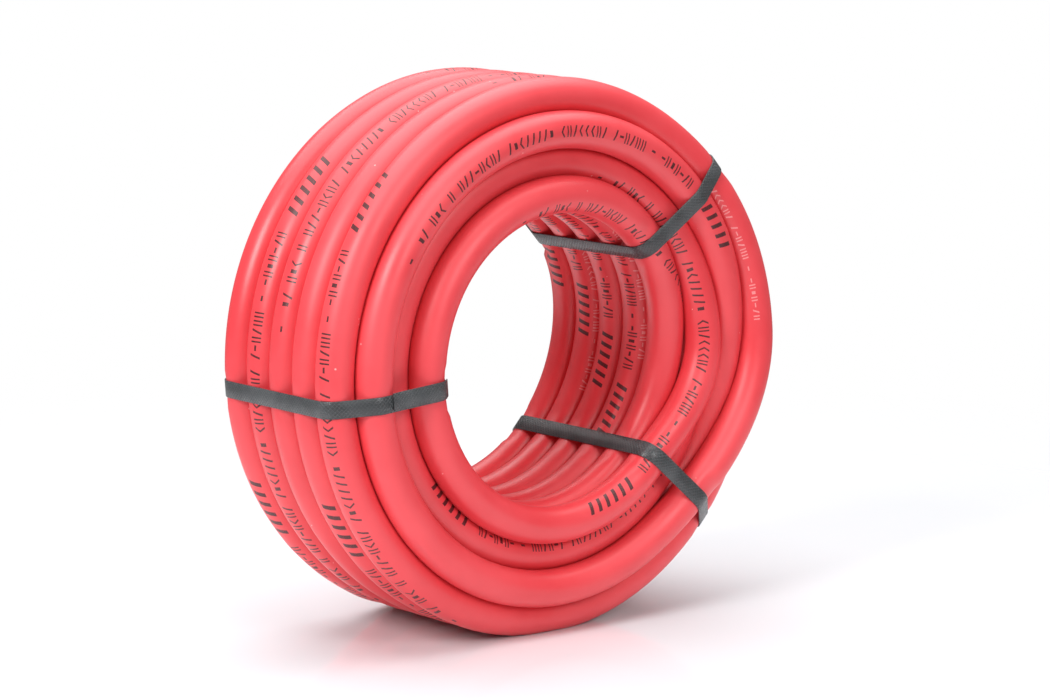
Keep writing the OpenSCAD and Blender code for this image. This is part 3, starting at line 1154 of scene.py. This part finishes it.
def make_coupling(name, node, end):
    """Stem, neck, hexagon, thread and bore as one closed surface of rows."""
    barb, barb_at = barb_rows()
    hexagon, hexagon_at = hexagon_rows()
    thread, thread_at = thread_rows()
    neck = np.full((2, AROUND_STEPS), NECK_R)
    neck_at = np.array([FERRULE_L - COLLAR_L, HEX_START])
    tip = thread_at[-1]
    bore = np.full((4, AROUND_STEPS), BORE_R)
    bore[0] += BORE_CHAMFER
    bore_at = np.array([tip, tip - BORE_CHAMFER, 0.02, 0.0])
    grid = on_end(
        end, np.concatenate([barb, neck, hexagon, thread, bore]),
        np.concatenate([barb_at, neck_at, hexagon_at, thread_at, bore_at]),
    )
    steps = np.linalg.norm(np.diff(grid[:, 0], axis=0), axis=1)
    along = np.concatenate([[0.0], np.cumsum(steps), [steps.sum()]])
    coupling = grid_mesh(name, grid, along=along, ring_rows=True)
    finish_piece(coupling, BRASS, "brass", node)
    sharpen(coupling, 30)
    return coupling


ends = [
    make_ferrule("inner_crimped_ferrule", "inner_ferrule", INNER_END),
    make_coupling("inner_threaded_coupling", "inner_coupling", INNER_END),
    make_ferrule("outer_crimped_ferrule", "outer_ferrule", OUTER_END),
    make_coupling("outer_threaded_coupling", "outer_coupling", OUTER_END),
]

# %% [markdown]
# ## The layers inside the hose's wall
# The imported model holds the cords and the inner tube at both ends. Their shapes are right, so they
# stay and only get their finishes. They are hidden in the ferrules, but a cut-away would show them.


# %% Cords and inner tube
CORD_SHADE = (0.62, 0.60, 0.54, 1.0)
CORD_LIGHT = (0.88, 0.87, 0.82, 1.0)
TUBE_DARK = (0.012, 0.012, 0.013, 1.0)
TUBE_LIGHT = (0.028, 0.028, 0.030, 1.0)


def make_cords():
    """White textile cords, as fine bands of light and shade."""
    material, tree, shader = new_material("textile cords")
    place = object_position(tree)
    waves = tree.nodes.new("ShaderNodeTexWave")
    put(waves.inputs["Vector"], place)
    put(waves.inputs["Scale"], 420.0)
    put(waves.inputs["Distortion"], 1.5)
    grain = place_group(tree, GRAIN, Vector=place, Fine=3000.0, Coarse=200.0)
    colour = blend_colour(tree, waves.outputs["Fac"], CORD_SHADE, CORD_LIGHT)
    put(shader.inputs["Base Color"], colour)
    put(shader.inputs["Roughness"], step_between(tree, grain.outputs["Mottle"], 0.0, 1.0, 0.75, 0.9))
    put(shader.inputs["Normal"], bump(tree, waves.outputs["Fac"], 0.5, 0.0003))
    return material


def make_inner_tube():
    """Smooth black rubber with a slow unevenness."""
    material, tree, shader = new_material("black inner tube")
    place = object_position(tree)
    grain = place_group(tree, GRAIN, Vector=place, Fine=2000.0, Coarse=90.0)
    colour = blend_colour(tree, grain.outputs["Mottle"], TUBE_DARK, TUBE_LIGHT)
    put(shader.inputs["Base Color"], colour)
    put(shader.inputs["Roughness"], step_between(tree, grain.outputs["Mottle"], 0.0, 1.0, 0.38, 0.5))
    put(shader.inputs["Normal"], bump(tree, grain.outputs["Height"], 0.1, 0.0002))
    return material


def refinish(node, material):
    """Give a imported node's object a new material in all its slots."""
    piece = bpy.data.objects[node]
    if not piece.data.materials:
        piece.data.materials.append(material)
    for index in range(len(piece.data.materials)):
        piece.data.materials[index] = material


CORDS = make_cords()
INNER_TUBE = make_inner_tube()
for side in ("inner", "outer"):
    refinish(f"{side}_end_cords", CORDS)
    refinish(f"{side}_end_liner", INNER_TUBE)

# %% [markdown]
# ## Where the hose starts and ends
# The hose starts in the inner ferrule and ends in the outer one.

# %% [markdown]
# ## Floor and light
# A product on white stands on a pale floor that mirrors it a little. A floor as wide as the view
# would show an edge against the background, so this one fades away with the distance, and the
# surround behind it is full white to the camera. A large soft box above gives the shadow under the
# coil, a smaller one at the left picks out the rims, and a weak one in front opens the shades.

# %% Floor
FLOOR_HALF = 0.9
FLOOR_COLOUR = (0.82, 0.83, 0.86, 1.0)
FADES_FROM, FADES_TO = 0.25, 0.80


def make_floor():
    """A plain floor with a clear sheen, solid under the coil and clear far from it."""
    corners = FLOOR_HALF * np.array([(-1, -1, 0), (1, -1, 0), (1, 1, 0), (-1, 1, 0)])
    mesh = bpy.data.meshes.new("floor")
    mesh.from_pydata(corners.tolist(), [], [(0, 1, 2, 3)])
    floor = bpy.data.objects.new("floor", mesh)
    bpy.context.scene.collection.objects.link(floor)
    material, tree, shader = new_material("pale floor")
    put(shader.inputs["Base Color"], FLOOR_COLOUR)
    put(shader.inputs["Roughness"], 0.09)
    put(shader.inputs["Specular IOR Level"], 0.6)
    distance = tree.nodes.new("ShaderNodeVectorMath")
    distance.operation = "LENGTH"
    put(distance.inputs[0], object_position(tree))
    solid = step_between(tree, distance.outputs["Value"], FADES_FROM, FADES_TO, 1.0, 0.0)
    put(shader.inputs["Alpha"], solid)
    mesh.materials.append(material)


# %% World and lights
def make_light(name, place, size, power, aim=(0.0, 0.0, 0.14)):
    """A square area light that looks at a point."""
    data = bpy.data.lights.new(name, "AREA")
    data.size = size
    data.energy = power
    light = bpy.data.objects.new(name, data)
    bpy.context.scene.collection.objects.link(light)
    light.location = place
    away = np.array(place) - np.array(aim)
    level = math.hypot(away[0], away[1])
    heading = math.atan2(away[1], away[0]) + math.pi / 2
    light.rotation_euler = (math.atan2(level, away[2]), 0.0, heading)
    print(f"{name}: {power} W over {size} m")


def make_world(strength):
    """A white surround: full white behind the scene, and weaker as a light."""
    world = bpy.data.worlds.new("white surround")
    world.use_nodes = True
    tree = world.node_tree
    background = tree.nodes["Background"]
    background.inputs["Color"].default_value = (1.0, 1.0, 1.0, 1.0)
    seen = tree.nodes.new("ShaderNodeLightPath").outputs["Is Camera Ray"]
    put(background.inputs["Strength"], step_between(tree, seen, 0.0, 1.0, strength, 1.0))
    bpy.context.scene.world = world


make_floor()
make_world(0.25)
make_light("overhead soft box", (0.45, 0.75, 2.3), 3.4, 118.0, aim=(0.45, 0.75, 0.0))
make_light("key at the left", (-1.7, -0.3, 1.25), 0.8, 29.0)
make_light("front fill", (-0.2, -2.1, 1.3), 1.0, 21.0)
bpy.context.scene.view_settings.view_transform = "Standard"
